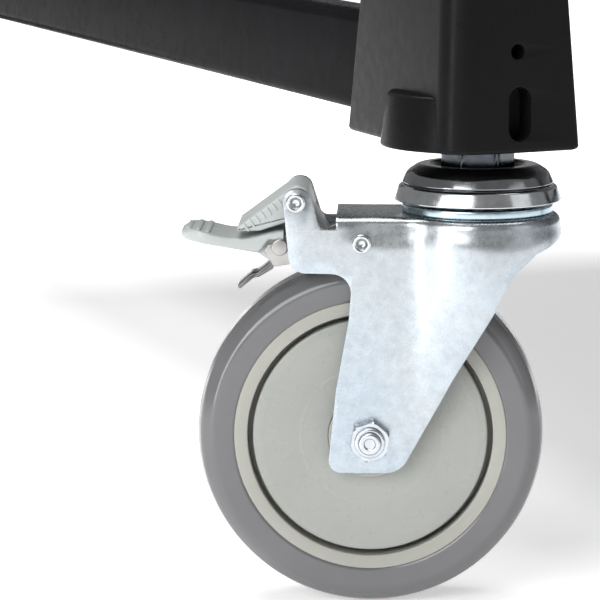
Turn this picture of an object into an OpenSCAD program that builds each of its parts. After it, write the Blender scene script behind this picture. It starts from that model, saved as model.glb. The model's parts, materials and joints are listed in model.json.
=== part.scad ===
// Rolling utility cart: three trays on four tube uprights, plastic feet, low side rails,
// a push handle and four swivel stem casters, the two at the handle end with total-lock brakes.
// Millimetres. Origin on the floor under the middle of the cart, +Z up, handle end at -Y.

/* [Cart] */
// Width over the feet
cart_w = 610; // [508:1:720]
// Length over the feet
cart_l = 914; // [800:1:1200]
// Height of the top face of the uprights
upright_top_z = 870; // [700:1:950]
// Height of the middle of the handle bar
handle_z = 990; // [920:1:1060]

/* [Feet] */
// Height of the flat bottom of each foot
foot_z = 166.5; // [166.5:0.5:166.5]
// Height of one foot
foot_h = 95.5; // [80:0.5:110]
// Width of a foot at its bottom
foot_w = 53; // [52:1:60]
// Distance from the stem to the outer end face of a foot
foot_front = 33; // [30:1:36]
// Distance from the stem to the inner end of a foot, at its bottom
foot_rear = 65; // [56:1:70]

/* [Frame tubes] */
// Upright tube, across the cart
upright_w = 30; // [28:1:32]
// Upright tube, along the cart
upright_d = 60; // [50:1:60]
// Side rail tube, across the cart
rail_w = 20; // [16:1:20]
// Side rail tube, vertical
rail_h = 38; // [30:0.5:40]
// Wall of the steel tubes
tube_wall = 2; // [1.5:0.5:2.5]
// Outside diameter of the handle tube
handle_d = 25.4; // [22:0.1:25.4]
// Length of the handle grip
grip_l = 300; // [150:1:320]

/* [Trays] */
// Underside of each tray, bottom to top
tray_z = [263, 530, 820];
// Height of a tray's walls
tray_h = 55; // [40:1:70]
// Wall of a tray
tray_wall = 4; // [3:0.5:5]

/* [Casters] */
// Wheel radius
wheel_r = 62.5; // [62.5:0.5:62.5]
// Width of the tread
tread_w = 32; // [28:1:32]
// Distance from the swivel axis back to the axle
trail = 38.35; // [36:0.05:40]
// Angle between a caster's trail and straight sideways
toe = 21.62; // [0:0.01:45]
// Inside gap between the fork plates
fork_gap = 38; // [36:1:40]
// Fork sheet thickness
sheet = 3; // [2.5:0.5:3]

/* [Hidden] */
$fn = 48;
slack = 0.05;
front_left = [-1, -1];
front_right = [1, -1];
rear_left = [-1, 1];
rear_right = [1, 1];
corners = [front_left, front_right, rear_left, rear_right];
foot_out = 26;
stem_x = cart_w / 2 - foot_out;
stem_y = cart_l / 2 - foot_front;
foot_top = foot_z + foot_h;

// Draft of the foot: outer side, inner side, front and rear, as run per millimetre of height
foot_draft = [0.03, 0.084, 0.02, 0.165];
foot_crown = -7;
foot_fall = [1, 3.5];
boss_r = [35.5, 32.5];
boss_h = 19.5;
stem_hole_h = 34;
thread_r = 6;
// Upright centre measured from the stem, towards the cart's outside and towards its middle
upright_off = [-1.5, 6];
upright_z = foot_z + 58.5;
upright_x = stem_x - upright_off.x;
upright_y = stem_y - upright_off.y;
rail_z = 173.8;
rail_outer = 24;
rail_bite = 14;
rail_end = stem_y - foot_rear + rail_bite + 6;

tray_w = 2 * (upright_x - upright_w / 2);
tray_l = cart_l - foot_front - 1;
tray_floor = 4;
tray_r = 20;
mat_h = 4;
bolt_r = 3;
bolt_y = [-22, -6];
cap_h = 6;
handle_y = stem_y + 6;
bend_r = 60;
leg_foot_z = 790;

// Swivel head, heights above the floor
plate_top = 142.5;
plate_z = plate_top - sheet;
race_top = 146;
ring_z = 151.2;
cap_z = 152.6;
collar_z = 157;
head_r = 30.8;
pin_r = 8;
collar_r = 13.3;
ball_r = 2.4;
ball_ring_r = 19;
ball_count = 16;
hex_turn = -20;

// Wheel
rim_r = 49.3;
groove_r = [42.3, 44.3];
core_half = 15.2;
cover_w = [8, 11, 14.4];
hub_r = 15;
hub_half = 16.8;
bearing_r = 11;
axle_r = 4;
plate_in = fork_gap / 2;
plate_out = plate_in + sheet;

// Brake pivots in the caster's own frame: distance behind the swivel axis, height
release_pivot = [64.95, 147.9];
rocker_pivot = [41.5, 133.3];
pedal_pin = [70.8, 131.3];
rivet_r = 2.5;
cheek_w = [15.3, 17.3];
pedal_half = 17.5;
lever_half = 16.5;

// ---------------------------------------------------------------- outlines and placing

function unit(v) = v / norm(v);
// Arc that rounds the corner b between a and c with radius r
function arc(a, b, c, r, steps) =
    let (
        u = unit(a - b),
        v = unit(c - b),
        half = acos(u * v) / 2,
        mid = b + unit(u + v) * r / sin(half),
        from = b + u * r / tan(half) - mid,
        to = b + v * r / tan(half) - mid,
        a0 = atan2(from.y, from.x),
        sweep = (atan2(to.y, to.x) - a0 + 540) % 360 - 180
    )
    [for (i = [0 : steps]) mid + r * [cos(a0 + sweep * i / steps), sin(a0 + sweep * i / steps)]];
function flat(p) = [p.x, p.y];
// Outline through [x, y, corner radius] points
function rounded(pts, steps = 5) =
    let (n = len(pts))
    [for (i = [0 : n - 1])
        for (q = pts[i].z > 0
            ? arc(flat(pts[(i + n - 1) % n]), flat(pts[i]), flat(pts[(i + 1) % n]), pts[i].z, steps)
            : [flat(pts[i])]) q];
function box_outline(w, d, r) =
    rounded([[-w / 2, -d / 2, r], [w / 2, -d / 2, r], [w / 2, d / 2, r], [-w / 2, d / 2, r]]);

// The front left corner's frame (outside at -X, end at -Y), mirrored to the other corners
module at_corner(c) {
    translate([c.x * stem_x, c.y * stem_y, 0])
        mirror([c.x > 0 ? 1 : 0, 0, 0])
            mirror([0, c.y > 0 ? 1 : 0, 0])
                children();
}

// A caster's frame: X back from the swivel axis towards the axle, Y along the axle
module at_caster(c) {
    translate([c.x * stem_x, c.y * stem_y, 0])
        rotate(atan2(-c.y * sin(toe), c.x * cos(toe)))
            children();
}

// Side profile (x, z) made solid from y0 to y1
module across(y0, y1) {
    rotate([90, 0, 0])
        translate([0, 0, -y1])
            linear_extrude(y1 - y0)
                children();
}

// A frame with +Z along the cross pin at p
module on_pin(p) {
    translate([p.x, 0, p.y])
        rotate([-90, 0, 0])
            children();
}

module on_axle() {
    on_pin([trail, wheel_r]) children();
}

// Cylinder along Z between two heights
module rod(r, z0, z1) {
    translate([0, 0, z0])
        cylinder(r = r, h = z1 - z0);
}

module tube(r_in, r_out, z0, z1) {
    difference() {
        rod(r_out, z0, z1);
        rod(r_in, z0 - 1, z1 + 1);
    }
}

module hex(r, z0, z1) {
    translate([0, 0, z0])
        cylinder(r = r, h = z1 - z0, $fn = 6);
}

// Rectangular hollow section along Z
module box_tube(w, d, r, wall, h) {
    linear_extrude(h)
        difference() {
            polygon(box_outline(w, d, r));
            polygon(box_outline(w - 2 * wall, d - 2 * wall, r - wall));
        }
}

// ---------------------------------------------------------------- feet and frame

// Outline of the foot at a height h above its bottom, with a slightly crowned front face
function foot_outline(h) =
    let (
        x0 = -foot_out + foot_draft[0] * h,
        x1 = foot_w - foot_out - foot_draft[1] * h,
        y0 = -foot_front + foot_draft[2] * h,
        y1 = foot_rear - foot_draft[3] * h
    )
    rounded([
        [x0, y0 + foot_fall[0], 10], [foot_crown, y0, 100], [x1, y0 + foot_fall[1], 2],
        [x1, y1, 3], [x0, y1, 3]
    ]);

module foot_block() {
    hull() {
        translate([0, 0, foot_z])
            linear_extrude(0.01)
                polygon(foot_outline(0));
        translate([0, 0, foot_top - 0.01])
            linear_extrude(0.01)
                polygon(foot_outline(foot_h));
    }
}

// Half-round housing of the stem socket on the foot's outer side
module stem_boss() {
    reach = boss_r[0] + 1;
    intersection() {
        rotate_extrude()
            polygon(rounded([
                [0, foot_z, 0], [boss_r[0], foot_z, 0],
                [boss_r[1], foot_z + boss_h, 1.8], [0, foot_z + boss_h, 0]
            ]));
        translate([-reach, -reach, foot_z - 1])
            cube([reach - 16, 2 * reach, boss_h + 2]);
    }
}

// Upright slot and round hole in the end face, and the shallow panel above them
module foot_front_cuts() {
    slot_r = 4.5;
    slot_x = 2.3;
    slot_z = [foot_z + 8.6, foot_z + 18.8];
    depth = 12;
    for (z = slot_z)
        translate([slot_x, 0, z])
            rotate([90, 0, 0])
                rod(slot_r, foot_front - depth, foot_front + 1);
    translate([slot_x - slot_r, -foot_front - 1, slot_z[0]])
        cube([2 * slot_r, depth + 1, slot_z[1] - slot_z[0]]);
    translate([1.4, 0, foot_z + 35.6])
        rotate([90, 0, 0])
            rod(2.75, foot_front - depth, foot_front + 1);
    difference() {
        across(-foot_front - 1, -foot_front + 12)
            polygon(rounded([
                [-22, foot_z + 50, 3.5], [20.6, foot_z + 50, 3.5],
                [20.6, foot_top - 5, 3.5], [-22, foot_top - 5, 3.5]
            ]));
        translate([2, 2, 0])
            foot_block();
    }
}

module rail_section(grow) {
    polygon(box_outline(rail_w + 2 * grow, rail_h + 2 * grow, 5 + grow));
}

module foot(c) {
    color("#1c1c1e")
        at_corner(c)
            difference() {
                union() {
                    foot_block();
                    stem_boss();
                }
                rod(thread_r + slack, foot_z - 1, foot_z + stem_hole_h);
                foot_front_cuts();
                translate([upright_off.x, upright_off.y, upright_z])
                    linear_extrude(foot_h)
                        polygon(box_outline(upright_w, upright_d, 4));
                translate([rail_w / 2 - rail_outer, foot_rear + 20, rail_z + rail_h / 2])
                    rotate([90, 0, 0])
                        linear_extrude(20 + 6 + rail_bite)
                            rail_section(0);
            }
}

module side_rails() {
    color("#101012")
        for (side = [-1, 1])
            translate([side * (stem_x + rail_outer - rail_w / 2), rail_end, rail_z + rail_h / 2])
                rotate([90, 0, 0])
                    linear_extrude(2 * rail_end)
                        difference() {
                            rail_section(0);
                            rail_section(-tube_wall);
                        }
}

// Holes or bolts that fasten the trays, one pair at each crossing of tray and upright
module at_tray_bolts(c) {
    for (z = tray_z)
        for (y = bolt_y)
            translate([c.x * upright_x, c.y * (upright_y + y), z + tray_h / 2])
                rotate([0, c.x * 90, 0])
                    children();
}

module upright(c) {
    color("#101012")
        difference() {
            translate([c.x * upright_x, c.y * upright_y, upright_z])
                box_tube(upright_w, upright_d, 4, tube_wall, upright_top_z - upright_z);
            at_tray_bolts(c)
                rod(bolt_r + slack, -upright_w, upright_w);
        }
}

// Plugs in the tops of the uprights; the handle legs pass through the front two
module upright_caps() {
    color("#1c1c1e")
        for (c = corners)
            difference() {
                translate([c.x * upright_x, c.y * upright_y, 0]) {
                    translate([0, 0, upright_top_z])
                        linear_extrude(cap_h)
                            polygon(box_outline(upright_w, upright_d, 4));
                    translate([0, 0, upright_top_z - 12])
                        linear_extrude(12)
                            polygon(box_outline(upright_w - 2 * tube_wall, upright_d - 2 * tube_wall, 2));
                }
                if (c.y < 0)
                    translate([c.x * upright_x, -handle_y, 0])
                        rod(handle_d / 2 + slack, upright_top_z - 20, upright_top_z + 20);
            }
}

// ---------------------------------------------------------------- trays, mats and handle

module tray(z) {
    color("#242426")
        difference() {
            translate([0, 0, z])
                linear_extrude(tray_h)
                    polygon(box_outline(tray_w, tray_l, tray_r));
            translate([0, 0, z + tray_floor])
                linear_extrude(tray_h)
                    polygon(box_outline(tray_w - 2 * tray_wall, tray_l - 2 * tray_wall, tray_r - tray_wall));
            for (c = corners)
                at_tray_bolts(c)
                    rod(bolt_r + slack, -upright_w, 0);
        }
}

module shelf_mats() {
    color("#8f9192")
        for (z = tray_z)
            translate([0, 0, z + tray_floor])
                linear_extrude(mat_h)
                    polygon(box_outline(tray_w - 16, tray_l - 16, tray_r - 8));
}

module bar_bend(side) {
    translate([side * (upright_x - bend_r), -handle_y, handle_z - bend_r])
        rotate([90, side > 0 ? 0 : -90, 0])
            rotate_extrude(angle = 90)
                translate([bend_r, 0])
                    difference() {
                        circle(d = handle_d);
                        circle(d = handle_d - 2 * tube_wall);
                    }
}

module push_handle() {
    r_in = handle_d / 2 - tube_wall;
    color("#101012") {
        for (side = [-1, 1]) {
            translate([side * upright_x, -handle_y, 0])
                tube(r_in, handle_d / 2, leg_foot_z, handle_z - bend_r);
            bar_bend(side);
        }
        translate([0, -handle_y, handle_z])
            rotate([0, 90, 0])
                tube(r_in, handle_d / 2, -upright_x + bend_r, upright_x - bend_r);
    }
}

module handle_grip() {
    color("#2a2a2c")
        translate([0, -handle_y, handle_z])
            rotate([0, 90, 0])
                tube(handle_d / 2 + slack, handle_d / 2 + 4, -grip_l / 2, grip_l / 2);
}

// Bolts through the uprights into the trays, each with its nut inside the tray
module frame_bolts() {
    nut_face = -upright_w / 2 - tray_wall;
    color("#c9ccd0")
        for (c = corners)
            at_tray_bolts(c) {
                rod(bolt_r, nut_face - 7, upright_w / 2);
                hex(5.8, upright_w / 2, upright_w / 2 + 4);
                difference() {
                    hex(5.8, nut_face - 5, nut_face);
                    rod(bolt_r, nut_face - 6, nut_face + 1);
                }
            }
}

// ---------------------------------------------------------------- caster swivel

// Threaded stem, hexagonal collar and king pin, riveted over below the fork plate
module caster_stems() {
    color("#b9bdc2")
        for (c = corners)
            translate([c.x * stem_x, c.y * stem_y, 0]) {
                rod(thread_r, foot_z, foot_z + stem_hole_h - 4);
                rotate(hex_turn)
                    hex(collar_r, collar_z, foot_z);
                rod(pin_r, plate_z - 5, collar_z);
                rod(pin_r + 4, plate_z - 4, plate_z - 0.3);
            }
}

// Domed cover with a dished middle that the collar sits in
module swivel_caps() {
    color("#4b4e52")
        for (c = corners)
            translate([c.x * stem_x, c.y * stem_y, 0])
                rotate_extrude()
                    polygon(rounded([
                        [pin_r + slack, cap_z, 0], [27.2, cap_z, 0], [27.2, 155.6, 2.5],
                        [22.6, 160, 5], [16.6, 160, 2], [15.4, collar_z, 1.2],
                        [pin_r + slack, collar_z, 0]
                    ]));
}

// Flared ring that keeps dust off the balls
module dust_rings() {
    color("#c4c8cc")
        for (c = corners)
            translate([c.x * stem_x, c.y * stem_y, 0])
                rotate_extrude()
                    polygon([
                        [pin_r + slack, ring_z], [27.4, ring_z], [28.9, 146.8],
                        [30.1, 146.8], [28.4, cap_z], [pin_r + slack, cap_z]
                    ]);
}

module ball_race(c) {
    color("#9fb0bd")
        at_caster(c) {
            tube(12, 27.2, plate_top, race_top);
            for (i = [0 : ball_count - 1])
                rotate(i * 360 / ball_count)
                    translate([ball_ring_r, 0, race_top + ball_r])
                        sphere(r = ball_r);
        }
}

// ---------------------------------------------------------------- fork

// Side plate of the fork; the braked one carries an ear over the notch
function leg_outline() = [
    [44.8, 122.3, 7], [46, 106, 20], [50.6, 80, 25], [53.6, 50.2, 4.5], [27.6, 50.2, 9],
    [-11, 119.1, 10], [-20.5, 130.5, 4], [-20.5, plate_top, 0]
];
function ear_outline() = [
    [50.6, plate_top, 0], [50.6, 138.3, 3], [56.4, 138.3, 3], [60.9, 152.7, 4.5],
    [69.9, 152.7, 4.5], [67, 122.7, 6]
];
function plain_outline() = [[46.5, plate_top, 5]];

module fork_plate(c) {
    difference() {
        polygon(rounded(concat(c.y < 0 ? ear_outline() : plain_outline(), leg_outline())));
        translate([trail, wheel_r])
            circle(r = axle_r + slack);
        if (c.y < 0)
            for (p = [release_pivot, rocker_pivot])
                translate(p)
                    circle(r = rivet_r + slack);
    }
}

// Turned-down rim round the nose of the swivel head
module head_skirt() {
    intersection() {
        tube(head_r - sheet, head_r, plate_top - 11.5, plate_top);
        translate([-head_r - 1, -head_r - 1, plate_top - 20])
            cube([head_r + 1, 2 * head_r + 2, 30]);
    }
}

module fork(c) {
    web_end = c.y < 0 ? 50.6 : 41.5;
    color("#b7bcc0")
        at_caster(c) {
            difference() {
                union() {
                    rod(head_r, plate_z, plate_top);
                    translate([0, -plate_out, plate_z])
                        cube([web_end, 2 * plate_out, sheet]);
                    head_skirt();
                }
                rod(pin_r + slack, plate_z - 1, plate_top + 1);
            }
            across(plate_in, plate_out)
                fork_plate(c);
            across(-plate_out, -plate_in)
                fork_plate(c);
        }
}

// ---------------------------------------------------------------- wheel

// Bolt, lock nut and spacers of one axle
module axle(c) {
    hex_h = 5.5;
    bolt_end = 31;
    color("#c9ccd0")
        at_caster(c)
            on_axle() {
                rod(axle_r, -plate_out, bolt_end);
                rotate(-hex_turn)
                    hex(7.5, -plate_out - hex_h, -plate_out);
                difference() {
                    union() {
                        rotate(-hex_turn)
                            hex(7.5, plate_out, plate_out + hex_h);
                        rod(5.5, plate_out + hex_h, bolt_end - 1.6);
                    }
                    rod(axle_r, plate_out - 1, bolt_end);
                }
                for (w = [-1, 1])
                    mirror([0, 0, w < 0 ? 1 : 0])
                        tube(axle_r + slack, 8, hub_half + 0.4, plate_in);
            }
}

module tyre(c) {
    shoulder = tread_w / 2 + 0.4;
    color("#77787b")
        at_caster(c)
            on_axle()
                rotate_extrude($fn = 96)
                    polygon(rounded([
                        [rim_r, -core_half, 0], [wheel_r, -shoulder, 7],
                        [wheel_r, shoulder, 7], [rim_r, core_half, 0]
                    ], 8));
}

// Hub, web and rim in one moulding
module wheel_core(c) {
    web_half = 5;
    color("#b4b4ac")
        at_caster(c)
            on_axle()
                difference() {
                    union() {
                        tube(bearing_r + slack, hub_r, -hub_half, hub_half);
                        tube(hub_r - 1, groove_r[1] + 1, -web_half, web_half);
                        tube(groove_r[1], rim_r, -core_half, core_half);
                    }
                    rod(bearing_r + slack, -hub_half - 1, hub_half + 1);
                }
}

// Dished cover on each side of the web, with a groove round it
module hub_covers(c) {
    color("#bfc1bb")
        at_caster(c)
            on_axle()
                for (side = [0, 1])
                    mirror([0, 0, side])
                        rotate_extrude()
                            polygon([
                                [hub_r + slack, cover_w[0]],
                                [groove_r[1] - slack, cover_w[0]],
                                [groove_r[1] - slack, cover_w[1]],
                                [groove_r[0], cover_w[1]],
                                [groove_r[0], cover_w[2]],
                                [25, cover_w[2]],
                                [25, cover_w[2] + 0.5],
                                [hub_r + slack, cover_w[2] + 0.5]
                            ]);
}

module wheel_bearings(c) {
    color("#9a9ea3")
        at_caster(c)
            on_axle()
                for (side = [0, 1])
                    mirror([0, 0, side])
                        tube(axle_r + slack, bearing_r, 8, hub_half);
}

// ---------------------------------------------------------------- brake

function pedal_outline() = [
    [106.6, 135.8, 1.6], [104.6, 133.3, 2], [79, 129.1, 1], [77.2, 130.4, 1],
    [74, 134.4, 1], [69.5, 134.7, 0], [69.5, 138, 0], [75.3, 136.4, 4], [86.5, 135.2, 4],
    [98, 136.5, 4], [104.4, 137.6, 2]
];
function knuckle_outline() = [
    [80, 129.6, 1], [77.5, 135.5, 1], [65, 135.5, 2], [64.6, 127, 3], [74.2, 125.6, 3]
];

// Rounded tip of the pedal, seen from above
module pedal_plan() {
    linear_extrude(200)
        polygon(rounded([
            [60, -pedal_half, 0], [106.6, -pedal_half, 11],
            [106.6, pedal_half, 11], [60, pedal_half, 0]
        ]));
}

module brake_pedal(c) {
    color("#bfc3c3")
        at_caster(c)
            difference() {
                union() {
                    intersection() {
                        across(-pedal_half, pedal_half)
                            polygon(rounded(pedal_outline()));
                        pedal_plan();
                    }
                    across(-cheek_w[0] + 0.3, cheek_w[0] - 0.3)
                        polygon(rounded(knuckle_outline()));
                }
                on_pin(pedal_pin)
                    rod(rivet_r + slack, -20, 20);
                on_pin(pedal_pin)
                    rod(5, -7.5, 7.5);
                translate([66, -7.5, 120])
                    cube([12, 15, pedal_pin.y - 120]);
            }
}

// Lever with a hub on its rivet, an upper blade towards the pedal and a tail into the notch
module release_lever(c) {
    blade = [
        [58.2, 143.4, 0.8], [60.9, 152, 2.4], [64.6, 153.6, 3], [69.4, 150.4, 3],
        [86.2, 138.2, 0.8], [86.2, 136.6, 0.3], [78, 136.9, 2], [70, 139.6, 3], [62, 141.6, 2]
    ];
    tail = [
        [61.2, 149.5, 0], [58.6, 145, 1], [53.2, 136, 0.6], [55.2, 135.4, 0.6],
        [59.4, 141.2, 2], [62.2, 143, 0]
    ];
    color("#b7bbbb")
        at_caster(c)
            difference() {
                union() {
                    across(-lever_half, lever_half)
                        polygon(rounded(blade));
                    across(-8, 8)
                        polygon(rounded(tail));
                }
                on_pin(release_pivot)
                    rod(rivet_r + slack, -20, 20);
            }
}

// Two cheeks on the rocker rivet, joined by the pin that carries pedal and shoe
module brake_rocker(c) {
    cheek = [
        [36.6, 128.4, 4.5], [36.6, 138.2, 4.5], [48, 136.9, 6], [58, 132.4, 3],
        [74.8, 132.4, 1.5], [76.2, 130.2, 1], [72.9, 124.2, 1.5], [60, 126.5, 3], [50, 127.7, 3]
    ];
    color("#a9a6a2")
        at_caster(c) {
            for (side = [-1, 1])
                difference() {
                    across(side > 0 ? cheek_w[0] : -cheek_w[1], side > 0 ? cheek_w[1] : -cheek_w[0])
                        polygon(rounded(cheek));
                    on_pin(rocker_pivot)
                        rod(rivet_r + slack, -20, 20);
                }
            on_pin(pedal_pin) {
                rod(rivet_r, -cheek_w[1] - 0.8, cheek_w[1] + 0.8);
                rod(3, cheek_w[1], cheek_w[1] + 0.8);
                rod(3, -cheek_w[1] - 0.8, -cheek_w[1]);
            }
        }
}

// Steel leaf with an eye on the pedal pin; its free end comes down on the tread
module brake_shoe(c) {
    leaf = [
        [73.6, 128.8, 0], [75, 123.6, 1], [86.4, 115.4, 0.5], [85.6, 114.2, 0.5],
        [73.8, 121.8, 2], [70, 128.4, 0]
    ];
    color("#8d8f92")
        at_caster(c)
            difference() {
                union() {
                    across(-6.5, 6.5)
                        polygon(rounded(leaf));
                    on_pin(pedal_pin)
                        rod(4.6, -6.5, 6.5);
                }
                on_pin(pedal_pin)
                    rod(rivet_r + slack, -10, 10);
            }
}

// Tubular rivets with rolled heads, through both fork plates
module brake_rivets(c) {
    head_w = plate_out + 1.8;
    color("#cfd3d6")
        at_caster(c)
            for (p = [release_pivot, rocker_pivot])
                on_pin(p) {
                    tube(1.5, rivet_r, -head_w, head_w);
                    tube(2.2, 3.45, plate_out, head_w);
                    tube(2.2, 3.45, -head_w, -plate_out);
                }
}

// Close-wound torsion spring round the rocker rivet, as one sleeve with a ridge for each turn
module brake_spring(c) {
    wire_r = 0.6;
    leg_r = 0.45;
    turns = 6;
    coil_r = rivet_r + wire_r + 0.4;
    half = turns * wire_r;
    ridges = [
        for (i = [0 : turns - 1])
            for (a = [-75 : 25 : 75])
                [coil_r + wire_r * cos(a), (2 * i + 1) * wire_r - half + wire_r * sin(a)]
    ];
    color("#8d8f92")
        at_caster(c)
            on_pin(rocker_pivot) {
                rotate_extrude($fn = 96)
                    polygon(concat([[coil_r - wire_r, -half]], ridges, [[coil_r - wire_r, half]]));
                translate([0, -coil_r, half - wire_r])
                    rotate([0, 90, 0])
                        rod(leg_r, 0, 9);
            }
}

// ---------------------------------------------------------------- nodes

foot(front_left);  // foot_front_left
foot(front_right);  // foot_front_right
foot(rear_left);  // foot_rear_left
foot(rear_right);  // foot_rear_right
upright(front_left);  // upright_front_left
upright(front_right);  // upright_front_right
upright(rear_left);  // upright_rear_left
upright(rear_right);  // upright_rear_right
side_rails();
tray(tray_z[0]);  // bottom_tray
tray(tray_z[1]);  // middle_tray
tray(tray_z[2]);  // top_tray
shelf_mats();
push_handle();
handle_grip();
upright_caps();
frame_bolts();
caster_stems();
swivel_caps();
dust_rings();
fork(front_left);  // fork_front_left
fork(front_right);  // fork_front_right
fork(rear_left);  // fork_rear_left
fork(rear_right);  // fork_rear_right
ball_race(front_left);  // ball_race_front_left
ball_race(front_right);  // ball_race_front_right
ball_race(rear_left);  // ball_race_rear_left
ball_race(rear_right);  // ball_race_rear_right
axle(front_left);  // axle_front_left
axle(front_right);  // axle_front_right
axle(rear_left);  // axle_rear_left
axle(rear_right);  // axle_rear_right
tyre(front_left);  // tyre_front_left
tyre(front_right);  // tyre_front_right
tyre(rear_left);  // tyre_rear_left
tyre(rear_right);  // tyre_rear_right
wheel_core(front_left);  // wheel_core_front_left
wheel_core(front_right);  // wheel_core_front_right
wheel_core(rear_left);  // wheel_core_rear_left
wheel_core(rear_right);  // wheel_core_rear_right
hub_covers(front_left);  // hub_covers_front_left
hub_covers(front_right);  // hub_covers_front_right
hub_covers(rear_left);  // hub_covers_rear_left
hub_covers(rear_right);  // hub_covers_rear_right
wheel_bearings(front_left);  // wheel_bearings_front_left
wheel_bearings(front_right);  // wheel_bearings_front_right
wheel_bearings(rear_left);  // wheel_bearings_rear_left
wheel_bearings(rear_right);  // wheel_bearings_rear_right
brake_pedal(front_left);  // brake_pedal_left
brake_pedal(front_right);  // brake_pedal_right
release_lever(front_left);  // release_lever_left
release_lever(front_right);  // release_lever_right
brake_rocker(front_left);  // brake_rocker_left
brake_rocker(front_right);  // brake_rocker_right
brake_shoe(front_left);  // brake_shoe_left
brake_shoe(front_right);  // brake_shoe_right
brake_rivets(front_left);  // brake_rivets_left
brake_rivets(front_right);  // brake_rivets_right
brake_spring(front_left);  // brake_spring_left
brake_spring(front_right);  // brake_spring_right
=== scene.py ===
import json
import math

import bmesh
import bpy
from mathutils import Matrix, Vector


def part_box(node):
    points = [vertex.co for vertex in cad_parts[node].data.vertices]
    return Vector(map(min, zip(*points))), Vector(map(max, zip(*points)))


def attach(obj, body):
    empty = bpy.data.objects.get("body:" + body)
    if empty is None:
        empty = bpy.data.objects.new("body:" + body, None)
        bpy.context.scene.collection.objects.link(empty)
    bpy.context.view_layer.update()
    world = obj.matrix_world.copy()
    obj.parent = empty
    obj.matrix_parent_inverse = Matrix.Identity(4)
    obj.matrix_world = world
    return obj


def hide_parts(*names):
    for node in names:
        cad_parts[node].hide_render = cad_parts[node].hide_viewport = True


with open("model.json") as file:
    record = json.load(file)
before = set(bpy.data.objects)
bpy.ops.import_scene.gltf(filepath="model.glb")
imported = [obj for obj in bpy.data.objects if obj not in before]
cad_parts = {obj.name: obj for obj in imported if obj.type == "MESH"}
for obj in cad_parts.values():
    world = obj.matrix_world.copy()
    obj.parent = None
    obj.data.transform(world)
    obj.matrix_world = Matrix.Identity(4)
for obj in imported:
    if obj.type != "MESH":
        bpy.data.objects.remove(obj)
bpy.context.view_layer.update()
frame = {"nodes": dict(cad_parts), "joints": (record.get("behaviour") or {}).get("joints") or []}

# Shapes are drawn in millimetres in a local frame and placed in the cart's frame in metres.
MM = Matrix.Scale(0.001, 4)
JOINTS = {j["name"]: j for j in frame["joints"]}
CORNERS = ("front_left", "front_right", "rear_left", "rear_right")
BRAKED = {"front_left": "left", "front_right": "right"}
# UPRIGHT stands a side profile drawn in x, y up in x, z, and ALONG_AXLE lays a lathed shape on its side
UPRIGHT = Matrix.Rotation(math.pi / 2, 4, "X")
ALONG_AXLE = Matrix.Rotation(-math.pi / 2, 4, "X")
SWAP_Y_Z = Matrix(((1, 0, 0, 0), (0, 0, 1, 0), (0, 1, 0, 0), (0, 0, 0, 1)))


def caster_frame(corner):
    """The caster's frame: X back from the swivel axis, Y along the axle, Z up, origin on the floor."""
    stem = Vector(JOINTS[f"swivel_{corner}_turn"]["pos_m"])
    axle = Vector(JOINTS[f"wheel_{corner}_roll"]["axis"])
    back = axle.cross(Vector((0, 0, 1)))
    turn = Matrix((back, axle, (0, 0, 1))).transposed().to_4x4()
    return Matrix.Translation((stem.x, stem.y, 0)) @ turn @ MM


def corner_frame(corner):
    """The foot's frame at the front left stem, mirrored to the other corners."""
    stem = Vector(JOINTS[f"swivel_{corner}_turn"]["pos_m"])
    flip = Matrix.Diagonal((-math.copysign(1, stem.x), -math.copysign(1, stem.y), 1, 1))
    return Matrix.Translation((stem.x, stem.y, 0)) @ flip @ MM


# ---------------------------------------------------------------- outlines

def arc(a, b, c, radius, steps):
    """Points of the arc that rounds corner b between a and c."""
    a, b, c = Vector(a), Vector(b), Vector(c)
    u, v = (a - b).normalized(), (c - b).normalized()
    half = math.acos(max(-1, min(1, u.dot(v)))) / 2
    middle = b + (u + v).normalized() * radius / math.sin(half)
    start = b + u * radius / math.tan(half) - middle
    end = b + v * radius / math.tan(half) - middle
    first = math.atan2(start.y, start.x)
    sweep = (math.atan2(end.y, end.x) - first + 3 * math.pi) % (2 * math.pi) - math.pi
    turns = [first + sweep * i / steps for i in range(steps + 1)]
    return [(middle.x + radius * math.cos(t), middle.y + radius * math.sin(t)) for t in turns]


def rounded(points, steps=6):
    """Outline through (x, y, corner radius) points."""
    out = []
    for i, (x, y, radius) in enumerate(points):
        before, after = points[i - 1][:2], points[(i + 1) % len(points)][:2]
        out += arc(before, (x, y), after, radius, steps) if radius > 0 else [(x, y)]
    return out


def rectangle(x0, x1, y0, y1, radius, steps):
    """Outline of a rectangle with rounded corners."""
    corners = [(x0, y0), (x1, y0), (x1, y1), (x0, y1)]
    return rounded([(x, y, radius) for x, y in corners], steps)


def smooth_step(value, low, high):
    """0 below low, 1 above high and an even S-curve between them."""
    t = max(0, min(1, (value - low) / (high - low)))
    return t * t * (3 - 2 * t)


# ---------------------------------------------------------------- mesh building

def rings_to_mesh(rings, close_rings=True, cap=True):
    """Joins rings of points into a skin; each ring has the same number of points."""
    bm = bmesh.new()
    rows = [[bm.verts.new(p) for p in ring] for ring in rings]
    count = len(rows[0])
    for low, high in zip(rows, rows[1:]):
        for i in range(count if close_rings else count - 1):
            j = (i + 1) % count
            bm.faces.new((low[i], low[j], high[j], high[i]))
    if cap:
        bm.faces.new(rows[0][::-1])
        bm.faces.new(rows[-1])
    return bm


def lathe(profile, steps, closed=True):
    """Turns (radius, height) points round Z; a closed profile makes a ring-shaped solid."""
    points = profile + profile[:1] if closed else profile
    rings = []
    for i in range(steps):
        t = 2 * math.pi * i / steps
        rings.append([(r * math.cos(t), r * math.sin(t), h) for r, h in points])
    rings.append(rings[0])
    bm = rings_to_mesh(rings, close_rings=False, cap=False)
    bmesh.ops.remove_doubles(bm, verts=bm.verts, dist=0.0005)
    bmesh.ops.recalc_face_normals(bm, faces=bm.faces)
    return bm


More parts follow.
